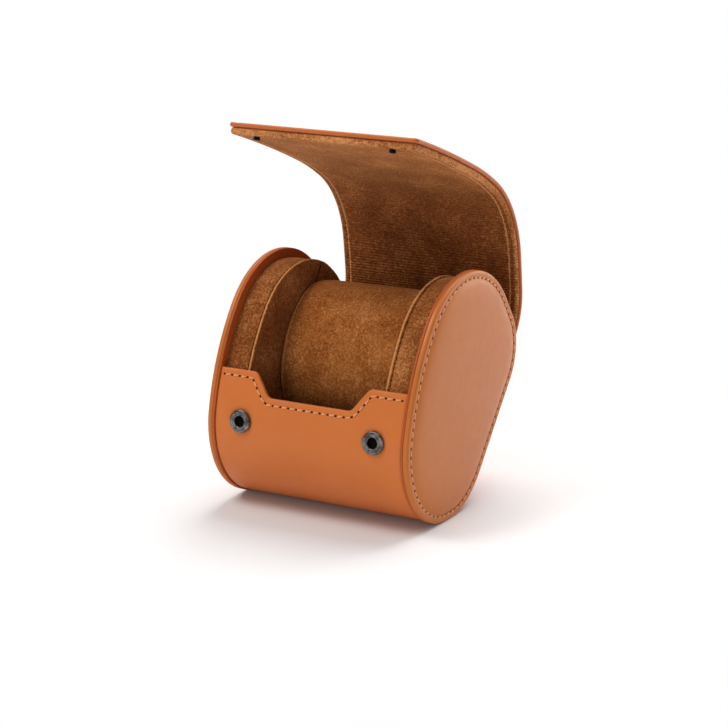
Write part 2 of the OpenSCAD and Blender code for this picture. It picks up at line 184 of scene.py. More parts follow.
class Mat:
    def __init__(self, name):
        self.m = bpy.data.materials.new(name)
        self.m.use_nodes = True
        self.t = self.m.node_tree
        self.b = self.t.nodes["Principled BSDF"]
        self.co = self.t.nodes.new("ShaderNodeTexCoord")

    def add(self, kind, **props):
        n = self.t.nodes.new(kind)
        for k, v in props.items():
            setattr(n, k, v)
        return n

    def link(self, a, b):
        self.t.links.new(a, b)

    def noise(self, scale, detail=4, rough=0.55):
        n = self.add("ShaderNodeTexNoise")
        n.inputs["Scale"].default_value = scale
        n.inputs["Detail"].default_value = detail
        n.inputs["Roughness"].default_value = rough
        self.link(self.co.outputs["Object"], n.inputs["Vector"])
        return n.outputs["Fac"]

    def cells(self, scale):
        n = self.add("ShaderNodeTexVoronoi", feature="F1")
        n.inputs["Scale"].default_value = scale
        self.link(self.co.outputs["Object"], n.inputs["Vector"])
        return n.outputs["Distance"]

    def ramp(self, fac, stops):
        n = self.add("ShaderNodeValToRGB")
        e = n.color_ramp.elements
        while len(e) < len(stops):
            e.new(0.5)
        for q, (p, c) in zip(e, stops):
            q.position, q.color = p, c
        self.link(fac, n.inputs["Fac"])
        return n.outputs["Color"]

    def math(self, op, a, b):
        n = self.add("ShaderNodeMath", operation=op)
        for i, q in enumerate((a, b)):
            if isinstance(q, (int, float)):
                n.inputs[i].default_value = q
            else:
                self.link(q, n.inputs[i])
        return n.outputs[0]

    def bell(self, value, centre, width):
        """1 at the centre, falling off like a bell curve."""
        d = self.math("DIVIDE", self.math("SUBTRACT", value, centre), width)
        return self.math("POWER", 2.718, self.math("MULTIPLY", self.math("MULTIPLY", d, d), -1.0))

    def fade(self, value, far, near):
        """1 where value is below near, falling to 0 at far."""
        n = self.add("ShaderNodeMapRange", interpolation_type="SMOOTHSTEP")
        for i, q in ((1, near), (2, far), (3, 1.0), (4, 0.0)):
            n.inputs[i].default_value = q
        self.link(value, n.inputs[0])
        return n.outputs[0]

    def bump(self, height, strength, distance, after=None):
        n = self.add("ShaderNodeBump")
        n.inputs["Strength"].default_value = strength
        n.inputs["Distance"].default_value = distance
        self.link(height, n.inputs["Height"])
        if after is not None:
            self.link(after, n.inputs["Normal"])
        return n.outputs["Normal"]


def leather(name, mid, deep, pale, rough=0.46, coat=0.06, grain=1.0, spec=0.32, tint=(1, 1, 1, 1)):
    m = Mat(name)
    cloud = m.math("ADD", m.math("MULTIPLY", m.noise(26, 4, 0.6), 0.7),
                   m.math("MULTIPLY", m.noise(190, 4, 0.6), 0.3))
    m.link(m.ramp(cloud, [(0.3, deep), (0.5, mid), (0.72, pale)]), m.b.inputs["Base Color"])
    fine = m.math("ADD", m.cells(1500), m.noise(900, 3, 0.6))
    m.link(m.bump(fine, 0.10 * grain, 0.00012, m.bump(m.noise(120, 3, 0.5), 0.10 * grain, 0.0004)),
           m.b.inputs["Normal"])
    m.link(m.ramp(m.noise(200, 3, 0.6), [(0.3, (*[rough - 0.05] * 3, 1)), (0.7, (*[rough + 0.06] * 3, 1))]),
           m.b.inputs["Roughness"])
    m.b.inputs["Coat Weight"].default_value = coat
    m.b.inputs["Coat Roughness"].default_value = 0.42
    m.b.inputs["Specular IOR Level"].default_value = spec
    m.b.inputs["Specular Tint"].default_value = tint
    return m.m


def suede_mat(name, dark, mid, light, lid=False, lines=()):
    """Napped suede. On the lid a raised fuzzy line runs inside the edge and faint ribs lie low down; the
    raised line and the rounded edges of the pad are painted paler as painted highlight, and the lower lid is
    painted darker as painted shade.
    Elsewhere lines holds (inset, x, width, gain) of each paler or darker line round a pad, in millimetres: a
    paler line on a raised welt is painted highlight, a darker line in a seam groove is painted shade."""
    m = Mat(name)
    brushed, tufts, hair = m.noise(60, 5, 0.6), m.noise(950, 3, 0.8), m.noise(2300, 2, 0.8)
    both = m.math("ADD", m.math("MULTIPLY", brushed, 0.26),
                  m.math("ADD", m.math("MULTIPLY", tufts, 0.48), m.math("MULTIPLY", hair, 0.26)))
    height = m.math("ADD", m.math("MULTIPLY", tufts, 0.6), m.math("MULTIPLY", hair, 0.4))
    uv = m.add("ShaderNodeSeparateXYZ")
    m.link(m.co.outputs["UV"], uv.inputs[0])
    ragged = m.math("MULTIPLY", m.math("SUBTRACT", m.noise(420, 3, 0.7), 0.5), 0.0009)
    if lid:
        x, along = m.math("ABSOLUTE", uv.outputs["X"], 0), uv.outputs["Y"]
        smooth = m.add("ShaderNodeMath", operation="SMOOTH_MIN")
        m.link(m.math("SUBTRACT", 0.0441, x), smooth.inputs[0])
        m.link(m.math("SUBTRACT", 0.1800, along), smooth.inputs[1])
        smooth.inputs[2].default_value = 0.0030
        inset = m.math("ADD", smooth.outputs[0], ragged)
        line = m.bell(inset, 0.0037, 0.00042)
        edge = m.math("GREATER_THAN", 0.0017, inset)
        low = m.fade(along, 0.110, 0.050)
        ribs = m.math("MULTIPLY", m.math("SINE", m.math("MULTIPLY", along, 2 * math.pi / 0.0013), 0), low)
        # painted highlight: the raised line inside the edge and the rounded edges of the pad are painted
        # paler, as lit ridges
        both = m.math("ADD", both, m.math("MULTIPLY", line, 0.20))
        both = m.math("ADD", both, m.math("MULTIPLY", edge, 0.07))
        # painted shade: the suede is painted darker over the lower lid towards the hinge, where it lies in
        # shade
        both = m.math("SUBTRACT", both, m.math("MULTIPLY", m.fade(along, 0.165, 0.100), 0.035))
        both = m.math("ADD", both, m.math("MULTIPLY", ribs, 0.022))
        raised = m.math("ADD", m.math("MULTIPLY", line, 1.2), m.math("MULTIPLY", ribs, 0.3))
        height = m.math("ADD", height, raised)
    # a positive gain paints a pale line on a raised welt, painted highlight; a negative gain paints a dark
    # line in the seam groove, painted shade
    for inset, x, width, gain in lines:
        di = m.math("SUBTRACT", m.math("ADD", uv.outputs["X"], ragged), inset / 1000)
        dx = m.math("SUBTRACT", uv.outputs["Y"], x / 1000)
        away = m.math("SQRT", m.math("ADD", m.math("MULTIPLY", di, di), m.math("MULTIPLY", dx, dx)), 0)
        both = m.math("ADD", both, m.math("MULTIPLY", m.bell(away, 0.0, width / 1000), gain))
    m.link(m.ramp(both, [(0.38, dark), (0.5, mid), (0.64, light)]), m.b.inputs["Base Color"])
    m.link(m.bump(height, 0.8, 0.0008), m.b.inputs["Normal"])
    m.b.inputs["Roughness"].default_value = 0.95
    m.b.inputs["Specular IOR Level"].default_value = 0.08
    m.b.inputs["Sheen Weight"].default_value = 0.5
    m.b.inputs["Sheen Roughness"].default_value = 0.35
    m.b.inputs["Sheen Tint"].default_value = rgb(235, 165, 105)
    return m.m


TAN = leather("tan_leather", rgb(200, 108, 49), rgb(196, 104, 46), rgb(204, 112, 52), tint=(1, 0.8, 0.6, 1))
# painted shade: the lid's leather is the tan leather painted darker, for the shade on the lid's edge
SHADED_LID_TAN = leather("lid_leather", rgb(184, 97, 46), rgb(180, 93, 43), rgb(189, 102, 50), tint=(1, 0.8, 0.6, 1))
PANEL = leather("panel_leather", rgb(184, 100, 42), rgb(179, 96, 39), rgb(189, 105, 46), rough=0.42,
                grain=0.6, coat=0.06, spec=0.6, tint=(1, 0.68, 0.34, 1))
EDGE_MAT = leather("rim_leather", rgb(170, 80, 30), rgb(162, 73, 26), rgb(178, 88, 36), rough=0.5, grain=0.6,
                   tint=(1, 0.8, 0.6, 1))
# pale line along the cheek welt: painted highlight; dark line in the seam groove beside it: painted shade
SUEDE = suede_mat("suede", rgb(84, 40, 13), rgb(138, 77, 35), rgb(205, 140, 84),
                  lines=[(3.75, 32.9, 0.42, 0.20), (4.45, 33.75, 0.45, -0.12)])
LID_SUEDE = suede_mat("lid_suede", rgb(88, 42, 14), rgb(144, 80, 37), rgb(218, 150, 94), lid=True)
# dark line in the groove of the pillow's end seam: painted shade; pale line on its welt: painted highlight
PILLOW_SUEDE = suede_mat("pillow_suede", rgb(104, 52, 16), rgb(160, 92, 40), rgb(216, 150, 90),
                         lines=[(0.7, 29.6, 0.35, -0.16), (1.3, 30.4, 0.4, 0.10)])


def thread_mat():
    m = Mat("thread")
    m.link(m.ramp(m.noise(1500, 2), [(0.3, rgb(214, 140, 84)), (0.7, rgb(234, 164, 110))]),
           m.b.inputs["Base Color"])
    w = m.add("ShaderNodeTexWave", wave_type="BANDS", bands_direction="DIAGONAL")
    w.inputs["Scale"].default_value = 900
    w.inputs["Distortion"].default_value = 1.5
    m.link(m.co.outputs["Object"], w.inputs["Vector"])
    m.link(m.bump(w.outputs["Fac"], 0.5, 0.0002), m.b.inputs["Normal"])
    m.b.inputs["Roughness"].default_value = 0.6
    return m.m


# painted shade: dark brown that stands in for the shade inside needle holes
def hole_shade_mat():
    m = Mat("needle_hole_painted_shade")
    m.link(m.ramp(m.noise(900, 2), [(0.3, rgb(52, 18, 5)), (0.7, rgb(78, 32, 10))]), m.b.inputs["Base Color"])
    m.b.inputs["Roughness"].default_value = 0.85
    m.b.inputs["Specular IOR Level"].default_value = 0.1
    return m.m


def metal_mat(name, lo, hi, rough):
    m = Mat(name)
    m.link(m.ramp(m.noise(420, 4), [(0.3, lo), (0.72, hi)]), m.b.inputs["Base Color"])
    m.link(m.bump(m.noise(1300, 4, 0.7), 0.25, 0.0002), m.b.inputs["Normal"])
    m.link(m.ramp(m.noise(700, 3), [(0.3, (*[rough - 0.08] * 3, 1)), (0.7, (*[rough + 0.12] * 3, 1))]),
           m.b.inputs["Roughness"])
    m.b.inputs["Metallic"].default_value = 0.9
    return m.m


def plain_mat(name, a, b, scale, rough):
    m = Mat(name)
    m.link(m.ramp(m.noise(scale, 5), [(0.3, a), (0.7, b)]), m.b.inputs["Base Color"])
    m.link(m.bump(m.noise(scale * 3, 4), 0.4, 0.0003), m.b.inputs["Normal"])
    m.b.inputs["Roughness"].default_value = rough
    return m.m


THREAD, HOLE_SHADE = thread_mat(), hole_shade_mat()
GUN = metal_mat("gunmetal", rgb(46, 44, 43), rgb(138, 133, 129), 0.30)
# painted shade: the studs' gunmetal is painted near black for the shade they sit in under the lid's free edge
STUD_SHADE = metal_mat("stud_gunmetal_painted_shade", rgb(14, 14, 15), rgb(30, 30, 32), 0.5)
# painted shade: the gunmetal barrel inside each socket is painted near black, with almost no specular, for
# the shade deep in its bore
SHADE_BLACK = plain_mat("socket_painted_shade", rgb(8, 8, 8), rgb(14, 13, 13), 800, 0.7)
SHADE_BLACK.node_tree.nodes["Principled BSDF"].inputs["Specular IOR Level"].default_value = 0.03
BOARD = plain_mat("grey_board", rgb(150, 138, 116), rgb(176, 164, 140), 260, 0.9)
FOAM = plain_mat("foam", rgb(214, 206, 184), rgb(232, 226, 208), 500, 0.95)

# the first word found in a node's name decides
NODE_MATS = [("core", FOAM), ("padding", FOAM), ("lining", SUEDE), ("cheek", SUEDE), ("pillow", SUEDE),
             ("leather", TAN), ("facing", TAN), ("cover", PANEL), ("socket", GUN), ("stud", GUN),
             ("board", BOARD)]
for n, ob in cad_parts.items():
    ob.data.materials.clear()
    ob.data.materials.append(next(mat for word, mat in NODE_MATS if word in n))

# ---------------------------------------------------------------- end panels
# (inset from the outline, x) round the folded edge, the seam's groove and up the puffed middle
COVER = [(5, 45.72), (0.35, 45.72), (0.08, 45.82), (0, 46.1), (0, 46.9), (0.06, 47.3), (0.25, 47.68),
         (0.6, 47.95), (1.05, 48.07), (1.6, 48.1), (2.2, 48.06), (2.65, 47.9), (3.0, 47.82), (3.3, 47.86),
         (3.7, 47.98), (4.2, 48.18), (5.0, 48.48), (6.0, 48.74), (7.5, 49.02), (9.5, 49.26), (12, 49.45),
         (15, 49.61), (17.5, 49.71), (20, 49.79)]
COVER_MIDDLE = ((0.93, 49.83), (0.8, 49.9), (0.6, 49.96), (0.4, 49.99), (0.2, 50.0), (0.04, 50.0))
FACING = [(5, 44.5), (0.45, 44.5), (0.12, 44.6), (0, 44.85), (0, 45.35), (0.1, 45.6), (0.35, 45.7), (5, 45.7)]
for side, tag in ((-1, "left"), (1, "right")):
    rings = [shrunk(5, 45.72, side, s) for s in (0.02, 0.5)]
    rings += [ring_at(i, x, side) for i, x in COVER]
    rings += [shrunk(20, x, side, s) for s, x in COVER_MIDDLE]
    v, f = loft(rings, flip=side > 0)
    make(f"{tag}_panel_cover", v, f, PANEL, "case",
         [f"{tag}_cover", f"{tag}_padding", f"{tag}_board"])
    rings = [shrunk(5, 44.5, side, s) for s in (0.02, 0.5)]
    rings += [ring_at(i, x, side) for i, x in FACING]
    rings += [shrunk(5, 45.7, side, s) for s in (0.5, 0.02)]
    v, f = loft(rings, flip=side > 0)
    make(f"{tag}_panel_facing", v, f, EDGE_MAT, "case", [f"{tag}_facing"])

# ---------------------------------------------------------------- stitches


def along(pts, normals, at):
    """Place, direction, surface normal and cross direction at each length along a path."""
    s = np.r_[0, np.cumsum(np.linalg.norm(np.diff(pts, axis=0), axis=1))]
    pick = lambda q, w: np.stack([np.interp(np.clip(q, 0, s[-1]), s, w[:, k]) for k in range(3)], -1)
    t = pick(at + 1, pts) - pick(at - 1, pts)
    t /= np.linalg.norm(t, axis=1)[:, None]
    m = pick(at, normals)
    m -= t * (m * t).sum(1)[:, None]
    m /= np.linalg.norm(m, axis=1)[:, None]
    return zip(pick(at, pts), t, m, np.cross(m, t)), s[-1]


def marks(name, pts, normals, at, size, mat, body, depth=0.12):
    """Small dark oval marks laid on a surface, painted shade standing in for the shade inside needle holes.
    """
    V, F = [], []
    for c, t, m, w in along(pts, normals, at)[0]:
        base, grow = len(V), 1 + RNG.uniform(-0.18, 0.18)
        for r, h in ((1.0, -depth), (0.8, 0.05), (0.4, 0.09)):
            for k in range(10):
                an = 2 * math.pi * k / 10
                V.append(c + (t * math.cos(an) * size[0] * grow + w * math.sin(an) * size[1]) * r + m * h)
        for i in range(2):
            for k in range(10):
                p, o = base + i * 10 + k, base + i * 10 + (k + 1) % 10
                F.append((p, o, o + 10, p + 10))
        F.append(tuple(base + 20 + k for k in range(10)))
        F.append(tuple(base + k for k in range(10))[::-1])
    V = np.array(V)
    return make(name, place(V[:, 0], V[:, 1], V[:, 2]), F, mat, body, ())


def stitch_run(name, pts, normals, pitch, body, length=0.74, width=0.42, close=False):
    """Thread stitches, and dark marks of painted shade for the needle holes, along a path of points with
    surface normals, all in millimetres.
    """
    pts, normals = np.asarray(pts, float), np.asarray(normals, float)
    if close:
        pts, normals = np.vstack([pts, pts[:1]]), np.vstack([normals, normals[:1]])
    total = np.linalg.norm(np.diff(pts, axis=0), axis=1).sum()
    n = max(2, round(total / pitch))
    real = total / n
    V, F = [], []
    for c, t, m, w in along(pts, normals, (np.arange(n) + 0.5) * real)[0]:
        t2 = (t + 0.10 * w) / np.linalg.norm(t + 0.10 * w)
        w2 = np.cross(m, t2)
        half = real * length / 2 * (1 + RNG.uniform(-0.05, 0.05))
        base = len(V)
        for e in np.linspace(-1, 1, 9):
            r = width * math.sqrt(max(0.02, 1 - abs(e) ** 4))
            lift = 0.30 * (1 - e ** 4) - 0.12
            for k in range(8):
                an = 2 * math.pi * k / 8
                V.append(c + t2 * e * half + w2 * r * math.cos(an) + m * (lift + 0.8 * r * math.sin(an)))
        for i in range(8):
            for k in range(8):
                p, o = base + i * 8 + k, base + i * 8 + (k + 1) % 8
                F.append((p, o, o + 8, p + 8))
        F.append(tuple(base + k for k in range(8))[::-1])
        F.append(tuple(base + 64 + k for k in range(8)))
    V = np.array(V)
    make(name + "_thread", place(V[:, 0], V[:, 1], V[:, 2]), F, THREAD, body, ())
    holes = np.clip(np.arange(n + (0 if close else 1)) * real, 0.05, total - 0.05)
    marks(name + "_holes", pts, normals, holes, (0.78, 0.56), HOLE_SHADE, body)


for side, tag in ((-1, "left"), (1, "right")):
    o = outline(SEAM_INSET)
    seam = np.c_[np.full(len(o), side * SEAM_X), o[:, 0], o[:, 1]]
    nrm = np.c_[np.full(len(o), side * 1.0), o[:, 2] * 0.12, o[:, 3] * 0.12]
    stitch_run(f"{tag}_panel_seam", seam, nrm, PITCH, "case", close=True)

# ---------------------------------------------------------------- body wrap
S_FRONT = FRONT_RISE * (FRONT - RECESS) / FRONT
LOBE_SPAN = 3 * math.pi / 2 - FRONT_END


def wrap_point(s, inset):
    """Point and normal on the wrap, s along the outer face from the front edge."""
    R = LOBE - RECESS
    s = np.asarray(s, float)
    out = np.empty(s.shape + (4,))
    a = EDGE + s / (FRONT - RECESS)
    on_front = s < S_FRONT
    lob = FRONT_END + (s - S_FRONT) / R
    on_lobe = (~on_front) & (lob < 3 * math.pi / 2)
    ang = np.where(on_front, a, np.minimum(lob, 3 * math.pi / 2))
    n = np.stack([np.cos(ang), np.sin(ang)], -1)
    out[..., 2:] = n
    p_front = FRONT_C + (FRONT - inset)[..., None] * n
    p_lobe = (LOBE - inset)[..., None] * n
    flat_u = s - S_FRONT - R * LOBE_SPAN
    p_flat = np.stack([flat_u, -(LOBE - inset)], -1)
    p = np.where(on_front[..., None], p_front, np.where(on_lobe[..., None], p_lobe, p_flat))
    out[..., :2] = pressed(p, inset)
    return out


S_BASE = S_FRONT + (LOBE - RECESS) * LOBE_SPAN
S_END = S_BASE + 46.5


def notch_start(x):
    """How far the front edge lies below its full height at x, with slightly rounded corners."""
    x = np.abs(np.asarray(x, float))
    f = lambda q: np.clip((NOTCH_TOP - q) / (NOTCH_TOP - NOTCH_FLOOR), 0, 1) * NOTCH_DEPTH
    r = np.linspace(-1.3, 1.3, 9)
    return np.mean([f(x + d) for d in r], axis=0)


WRAP_HALF = 44.44
X_COLS = np.unique(np.round(np.r_[
    np.linspace(-WRAP_HALF, -30, 18), np.linspace(-30, -16, 36), np.linspace(-16, 16, 20),
    np.linspace(16, 30, 36), np.linspace(30, WRAP_HALF, 18), [-44.2, 44.2, -43.8, 43.8]], 3))
SOCK_S = SOCKET_DROP * (LOBE - RECESS) / LOBE


def edge_distance(x, s):
    """Distance from the cut front edge, notch included."""
    xs = np.linspace(-HALF, HALF, 357)
    es = notch_start(xs)
    d = np.full(np.shape(s), 1e9)
    for a, b in zip(xs, es):
        d = np.minimum(d, (x - a) ** 2 + (s - b) ** 2)
    return np.sqrt(d)


def wrap_sheet(in_out, in_in, drop, trim, x_lim, detail):
    """Closed sheet between two insets, with a rounded front edge."""
    cols = X_COLS[np.abs(X_COLS) <= x_lim]
    rows = np.r_[np.linspace(0, 1, 46) ** 1.25 * 34, np.arange(36, S_END - trim - 0.5, 1.6), S_END - trim]
    total = S_END - trim
    r = (in_in - in_out) / 2
    s0 = notch_start(cols) + drop
    X, T = np.meshgrid(cols, rows / total)
    S = s0[None, :] + (total - s0[None, :]) * T
    S[:, :] = np.where(S < s0[None, :] + r, s0[None, :] + r + (S - s0[None, :]) * 0.02, S)

    def lay(S, inset):
        w = wrap_point(S, inset)
        return place(X if S.shape == X.shape else cols[None, :].repeat(S.shape[0], 0), w[..., 0], w[..., 1])

    edge_fall = 0.35 * np.clip((np.abs(X) - (x_lim - 0.75)) / 0.75, 0, 1) ** 2
    out = np.full(S.shape, in_out) + (edge_fall if detail else 0)
    if detail:
        d = edge_distance(X, S)
        out = out + 0.16 * np.exp(-((d - SEAM_INSET) / 0.55) ** 2) * (S < 16)
        for c in (-SNAP_X, SNAP_X):
            q = np.hypot(X - c, S - SOCK_S)
            out = out + 0.30 * np.exp(-np.clip(q - 4.9, 0, 99) ** 2 / 0.7) * (q < 8)
    A = lay(S, out)
    th = np.linspace(0, math.pi, 9)[1:-1]
    rim = []
    for t in th:
        ins = in_out + r - r * math.cos(t)
        Srow = (s0 + r - r * math.sin(t))[None, :]
        w = wrap_point(Srow, np.full(Srow.shape, ins))
        rim.append(place(cols[None, :], w[..., 0], w[..., 1]))
    B = lay(S, np.full(S.shape, in_in))
    grid = np.vstack([A[::-1]] + rim + [B])
    m, n = grid.shape[:2]
    v = grid.reshape(-1, 3)
    f = [(i * n + j, i * n + j + 1, (i + 1) * n + j + 1, (i + 1) * n + j)
         for i in range(m - 1) for j in range(n - 1)]
    f += [(j, (m - 1) * n + j, (m - 1) * n + j + 1, j + 1) for j in range(n - 1)]
    f += [tuple(i * n for i in range(m)), tuple(i * n + n - 1 for i in range(m))[::-1]]
    return v, f


v, f = wrap_sheet(RECESS, 2.5, 0.0, 0.0, WRAP_HALF, True)
make("wrap_outside", v, f, TAN, "case", ["wrap_leather", "wrap_board"])
v, f = wrap_sheet(2.52, 3.4, 0.7, 1.0, 44.3, False)
make("wrap_inside", v, f, SUEDE, "case", ["wrap_lining"])

# stitches along the front edge and round the notch
xs = np.linspace(-HALF, HALF, 713)
edge = np.c_[xs, notch_start(xs)]
tan = np.gradient(edge, axis=0)
tan /= np.linalg.norm(tan, axis=1)[:, None]
inner = edge + SEAM_INSET * np.c_[-tan[:, 1], tan[:, 0]]
keep = [inner[0]]
for p in inner[1:]:
    if p[0] > keep[-1][0] + 1e-4:
        keep.append(p)
inner = np.array(keep)
inner = inner[np.abs(inner[:, 0]) < 42.6]
w = wrap_point(inner[:, 1], np.full(len(inner), 0.72))
stitch_run("front_seam", np.c_[inner[:, 0], w[:, 0], w[:, 1]], np.c_[np.zeros(len(w)), w[:, 2:]],
           PITCH, "case")

# ---------------------------------------------------------------- cheek pads
# (inset from the outline, x) along the band, over the seam and the raised welt, and on to the face
CHEEK = [(12, 44.45), (4.15, 44.45), (4.05, 43), (3.98, 40), (4.0, 37), (4.15, 34.6), (4.35, 33.9),
         (4.2, 33.55), (3.88, 33.35), (3.72, 33.0), (3.72, 32.65), (3.92, 32.35), (4.3, 32.25), (4.7, 32.38),
         (5.2, 32.52), (6.2, 32.45), (8, 32.3), (11, 32.24), (16, 32.22), (20, 32.2)]
# butt seam across the face, as (u, v)
JOIN = ((66.0, 13.6), (64.5, 13.2), (62, 13.3), (59, 12.9), (55, 13.0))
for side, tag in ((-1, "left"), (1, "right")):
    rings = [shrunk(12, 44.45, side, s) for s in (0.02, 0.5)]
    rings += [ring_at(i, x, side, 0.09 if i < 4 else 0.0) for i, x in CHEEK]
    rings += [shrunk(20, 32.2, side, s) for s in (0.9, 0.75, 0.55, 0.35, 0.15, 0.03)]
    v, f = loft(rings, flip=side < 0)
    where = [(12, 44.45)] * 2 + CHEEK + [(20, 32.2)] * 6
    uv = np.repeat(np.array(where) / 1000, len(rings[0]), axis=0)
    make(f"{tag}_cheek_pad", v, f, SUEDE, "case",
         [f"{tag}_cheek_core", f"{tag}_cheek_band", f"{tag}_cheek_face"], uv=uv)
    # dark marks of painted shade for the stitch holes along the cheek seam and across the butt join
    o = outline(4.33)
    o = np.vstack([o, o[:1]])
    seam = np.c_[np.full(len(o), side * 33.9), o[:, :2]]
    nrm = np.c_[np.full(len(o), -side * 0.5), o[:, 2:]]
    total = np.linalg.norm(np.diff(seam, axis=0), axis=1).sum()
    marks(f"{tag}_cheek_seam", seam, nrm, np.arange(1.1, total - 1, 2.3), (0.7, 0.3), HOLE_SHADE, "case")
    join = np.array([[side * 32.16, u, v] for u, v in JOIN])
    marks(f"{tag}_cheek_join", join, np.tile([-side * 1.0, 0, 0], (len(JOIN), 1)), np.arange(0.6, 11, 1.2),
          (0.95, 0.34), HOLE_SHADE, "case")

# ---------------------------------------------------------------- pillow
# centre, length, width and tilt of its oval section
PU, PV, PL, PW, PT = 31.0, 0.7, 62.0, 46.0, math.radians(10)
AROUND = np.linspace(0, 2 * math.pi, 120, endpoint=False)
PILLOW_END = 2.6


def tilted(x, a, b):
    return place(x, PU + a * math.cos(PT) - b * math.sin(PT), PV + a * math.sin(PT) + b * math.cos(PT))


def oval(inset, x, wave=0.0):
    """Ring of the pillow at x, a little uneven where wave is above 0."""
    soft = wave * np.sin(3 * AROUND + 0.09 * x) + wave * 0.6 * np.sin(5 * AROUND - 0.05 * x + 1)
    return tilted(x, (PL / 2 - inset + soft) * np.cos(AROUND), (PW / 2 - inset + soft) * np.sin(AROUND))


def oval_in(share, x):
    """Ring of the pillow's end face, shrunk to a share of it."""
    return tilted(x, (PL / 2 - PILLOW_END) * share * np.cos(AROUND),
                  (PW / 2 - PILLOW_END) * share * np.sin(AROUND))


ends = [(PILLOW_END, 31.72), (2.05, 31.55), (1.6, 31.1), (1.35, 30.5), (1.25, 30.0), (1.45, 29.6),
        (1.1, 29.2), (0.75, 28.2), (0.5, 26.5), (0.35, 24), (0.25, 20), (0.2, 15), (0.18, 10), (0.15, 5)]
prof = [(i, -x) for i, x in ends] + [(0.15, 0)] + ends[::-1]
ends_in = (0.03, 0.3, 0.6, 0.85, 0.95)
rings = [oval_in(share, -31.78) for share in ends_in]
rings += [oval(i, x, 0.12 if abs(x) < 28 else 0.0) for i, x in prof]
rings += [oval_in(share, 31.78) for share in ends_in[::-1]]
v, f = loft(rings)
flat = [(6, 31.8)] * len(ends_in)
uv = np.repeat(np.array(flat + [(i, abs(x)) for i, x in prof] + flat) / 1000, len(AROUND), axis=0)
make("pillow", v, f, PILLOW_SUEDE, "pillow",
     ["pillow_core", "pillow_cover", "pillow_left_end", "pillow_right_end"], uv=uv)

# ---------------------------------------------------------------- lid flap
# (length, bend in degrees) of each run of the open lid, from the base to the free edge
RUNS = [(20.3, 0), (22.5, 46), (15, 1.5), (44, 51), (23, 9), (54, 5)]


def lid_at(s):
    """Point of the open lid's outer face at length s along it, and its direction."""
    p, a = np.array([HEEL_C[0], RECESS - LOBE]), 0.0
    for k, (length, bend) in enumerate(RUNS):
        q = s if (s <= length or k == len(RUNS) - 1) else length
        t = math.radians(bend) * q / length
        if abs(t) < 1e-5:
            p = p + q * np.array([math.cos(a), math.sin(a)])
        else:
            p = p + q / t * np.array([math.sin(a + t) - math.sin(a), math.cos(a) - math.cos(a + t)])
        a, s = a + t, s - q
        if s <= 1e-9:
            break
    return p, a


def lid_point(s, x, depth):
    """Point (x, u, v) in the lid at length s and a depth below its outer face."""
    p, a = lid_at(s)
    return np.stack([x, p[0] - depth * math.sin(a), p[1] + depth * math.cos(a)], -1)


def section(half, d0, d1, r, groove):
    """Rounded flat section of the lid as (x, depth), the outer face first."""
    mid = np.linspace(-half + r, half - r, 61)
    g = half - 3.6
    mid = np.unique(np.r_[mid, [c + e for c in (-g, g) for e in (-0.9, -0.45, 0, 0.45, 0.9)]])
    dip = groove * (np.exp(-((mid - g) / 0.5) ** 2) + np.exp(-((mid + g) / 0.5) ** 2))
    top = np.c_[mid, d0 + dip]
    rr = min(r, (d1 - d0) / 2 - 0.01)
    t = np.linspace(0, math.pi / 2, 6)
    q = lambda cx, cy, a0: np.c_[cx + r * np.cos(a0 + t), cy + rr * np.sin(a0 + t)]
    right_top = np.c_[half - r + r * np.sin(t), d0 + rr - rr * np.cos(t)][1:]
    right_bot = np.c_[half - r + r * np.cos(t), d1 - rr + rr * np.sin(t)]
    bottom = np.c_[mid[::-1], np.full(len(mid), d1)]
    left_bot = np.c_[-half + r - r * np.sin(t), d1 - rr + rr * np.cos(t)][1:]
    left_top = np.c_[-half + r - r * np.cos(t), d0 + rr - rr * np.sin(t)][:-1]
    return np.vstack([top, right_top, right_bot[1:], bottom[1:-1], left_bot, left_top[1:]])


def lid_part(s0, s1, half, d0, d1, r, end, corner, groove):
    """Layer of the lid from s0 to s1 along it and from d0 to d1 in depth, rounded at the free edge."""
    quarter = np.linspace(0.15, math.pi / 2, 6)
    stations = list(np.arange(s0, s1, 0.9)) + [s1]
    if s1 >= end - 1e-6:
        stations = [q for q in stations if q < end - corner]
        stations += list(end - corner + corner * np.sin(np.linspace(0, math.pi / 2, 16)))
        stations = [q for q in stations if q <= end - r] + [end - r + r * math.sin(a) for a in quarter]
    rings, uv = [], []
    for q in stations:
        h, a, b = half, d0, d1
        if q > end - corner:
            h = max(half - corner + math.sqrt(max(0, corner ** 2 - (q - end + corner) ** 2)), half - corner)
        if q > end - r:
            k = 1 - math.sqrt(max(0, 1 - ((q - end + r) / r) ** 2))
            rr = min(r, (d1 - d0) / 2)
            a, b = d0 + rr * k * 0.98, d1 - rr * k * 0.98
        sec = section(h, a, b, min(r, (b - a) / 2 + 0.02), groove)
        rings.append(lid_point(q, sec[:, 0], sec[:, 1]))
        uv.append(np.c_[sec[:, 0], np.full(len(sec), q)] / 1000)
    v, f = loft(rings)
    return place(v[:, 0], v[:, 1], v[:, 2]), f, np.vstack(uv)


# joints along the lid, and where the pieces start and end, about halfway between
CUTS = [5, 19, 62, 86, 110, 134, 158]
SEAMS = [2, 12, 40, 74, 98, 122, 146, LID_END]
# how far before and after the first, second and later joints the skin would bend; the points worked out from
# these below are not used
BENDS = ((-3, 7), (-7, 7), (-9, 9))
TIP_R, LINING_END = 2.0, LID_END - 0.8
